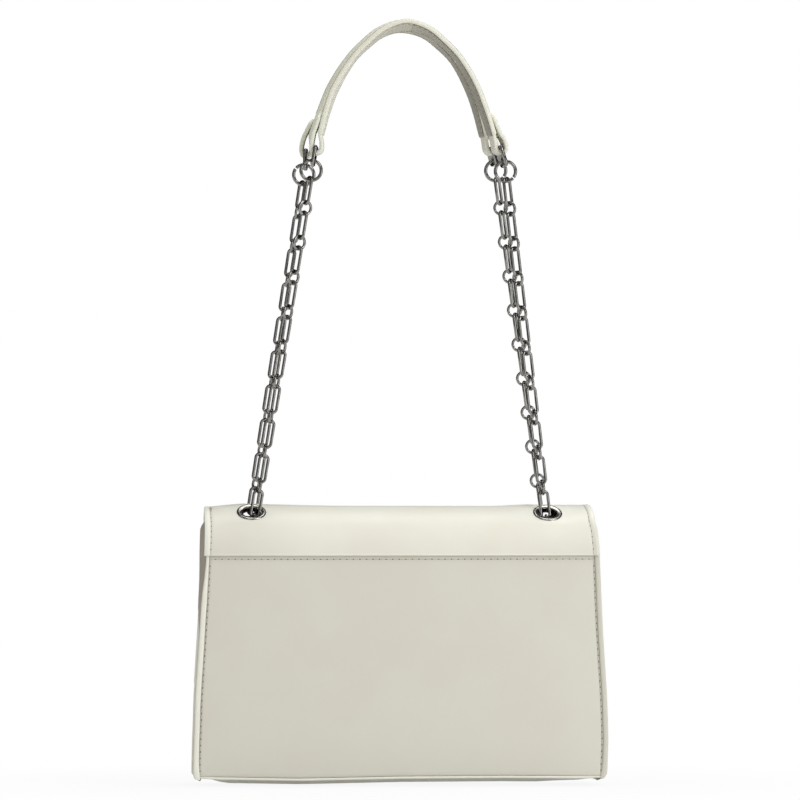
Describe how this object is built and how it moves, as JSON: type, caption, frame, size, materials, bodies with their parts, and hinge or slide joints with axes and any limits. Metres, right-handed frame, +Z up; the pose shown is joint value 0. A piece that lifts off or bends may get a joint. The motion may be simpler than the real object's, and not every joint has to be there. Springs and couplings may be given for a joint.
{
  "type": "shoulder bag",
  "caption": "Flap shoulder bag in smooth ivory leather, hung from link chains that pass through metal grommets and end in curved leather shoulder pads.",
  "frame": {"origin": "the hook: middle point under the top of the two shoulder pads, where the bag hangs", "axes": "+Z up, +Y from the back of the bag to its front flap, +X to the right seen from the back"},
  "size_m": [0.2593, 0.0739, 0.4728],
  "materials": {
    "panel_leather": "smooth ivory leather",
    "strip_leather": "smooth pale ivory leather",
    "piping_leather": "smooth pale ivory leather, turned edge",
    "pad_leather": "smooth ivory leather",
    "lining_leather": "smooth ivory leather",
    "lining_cloth": "plain woven lining",
    "board": "stiffening board",
    "chain_metal": "polished nickel",
    "grommet_metal": "polished nickel",
    "snap_metal": "plated magnetic snap"
  },
  "bodies": {
    "strap": {"back_left_loop": "chain_metal", "back_pad": "pad_leather", "back_pad_lining": "lining_leather", "back_right_loop": "chain_metal", "front_left_loop": "chain_metal", "front_pad": "pad_leather", "front_pad_lining": "lining_leather", "front_right_loop": "chain_metal"},
    "chain_back_left": {"back_left_chain_1": "chain_metal", "back_left_chain_2": "chain_metal", "back_left_chain_3": "chain_metal", "back_left_chain_4": "chain_metal", "back_left_chain_5": "chain_metal", "back_left_jump_ring": "chain_metal"},
    "chain_back_right": {"back_right_chain_1": "chain_metal", "back_right_chain_2": "chain_metal", "back_right_chain_3": "chain_metal", "back_right_chain_4": "chain_metal", "back_right_chain_5": "chain_metal", "back_right_jump_ring": "chain_metal"},
    "chain_front_left": {"front_left_chain_1": "chain_metal", "front_left_chain_2": "chain_metal", "front_left_chain_3": "chain_metal", "front_left_chain_4": "chain_metal", "front_left_chain_5": "chain_metal", "front_left_jump_ring": "chain_metal"},
    "chain_front_right": {"front_right_chain_1": "chain_metal", "front_right_chain_2": "chain_metal", "front_right_chain_3": "chain_metal", "front_right_chain_4": "chain_metal", "front_right_chain_5": "chain_metal", "front_right_jump_ring": "chain_metal"},
    "bag": {"back_board": "board", "back_left_grommet": "grommet_metal", "back_left_washer": "grommet_metal", "back_panel": "panel_leather", "back_piping": "piping_leather", "back_right_grommet": "grommet_metal", "back_right_washer": "grommet_metal", "base_board": "board", "base_panel": "panel_leather", "front_board": "board", "front_left_grommet": "grommet_metal", "front_left_washer": "grommet_metal", "front_panel": "panel_leather", "front_piping": "piping_leather", "front_right_grommet": "grommet_metal", "front_right_washer": "grommet_metal", "left_gusset": "panel_leather", "left_inner_chain": "chain_metal", "lining": "lining_cloth", "right_gusset": "panel_leather", "right_inner_chain": "chain_metal", "snap_socket": "snap_metal", "top_panel": "strip_leather"},
    "flap": {"flap": "panel_leather", "flap_lining": "lining_leather", "snap_stud": "snap_metal"}
  },
  "joints": [
    {"name": "chain_back_left_swing", "type": "hinge", "parent": "strap", "child": "chain_back_left", "pos_m": [-0.05695, -0.00925, -0.0793], "axis": [1, 0, 0], "range_deg": [-15, 15]},
    {"name": "chain_back_right_swing", "type": "hinge", "parent": "strap", "child": "chain_back_right", "pos_m": [0.06105, -0.00925, -0.0793], "axis": [1, 0, 0], "range_deg": [-15, 15]},
    {"name": "chain_front_left_swing", "type": "hinge", "parent": "strap", "child": "chain_front_left", "pos_m": [-0.06105, 0.00925, -0.0793], "axis": [1, 0, 0], "range_deg": [-15, 15]},
    {"name": "chain_front_right_swing", "type": "hinge", "parent": "strap", "child": "chain_front_right", "pos_m": [0.05695, 0.00925, -0.0793], "axis": [1, 0, 0], "range_deg": [-15, 15]},
    {"name": "bag_swing", "type": "hinge", "parent": "chain_back_left", "child": "bag", "pos_m": [-0.09665, -0.018, -0.29912], "axis": [1, 0, 0], "range_deg": [-8, 8]},
    {"name": "flap_lift", "type": "hinge", "parent": "bag", "child": "flap", "pos_m": [-0.00375, 0.0302, -0.3132], "axis": [1, 0, 0], "range_deg": [0, 120]}
  ],
  "couplings": [
    {"joint": "chain_back_right_swing", "follows": "chain_back_left_swing", "ratio": 1},
    {"joint": "chain_front_left_swing", "follows": "chain_back_left_swing", "ratio": 1},
    {"joint": "chain_front_right_swing", "follows": "chain_back_left_swing", "ratio": 1},
    {"joint": "bag_swing", "follows": "chain_back_left_swing", "ratio": -0.51389}
  ]
}
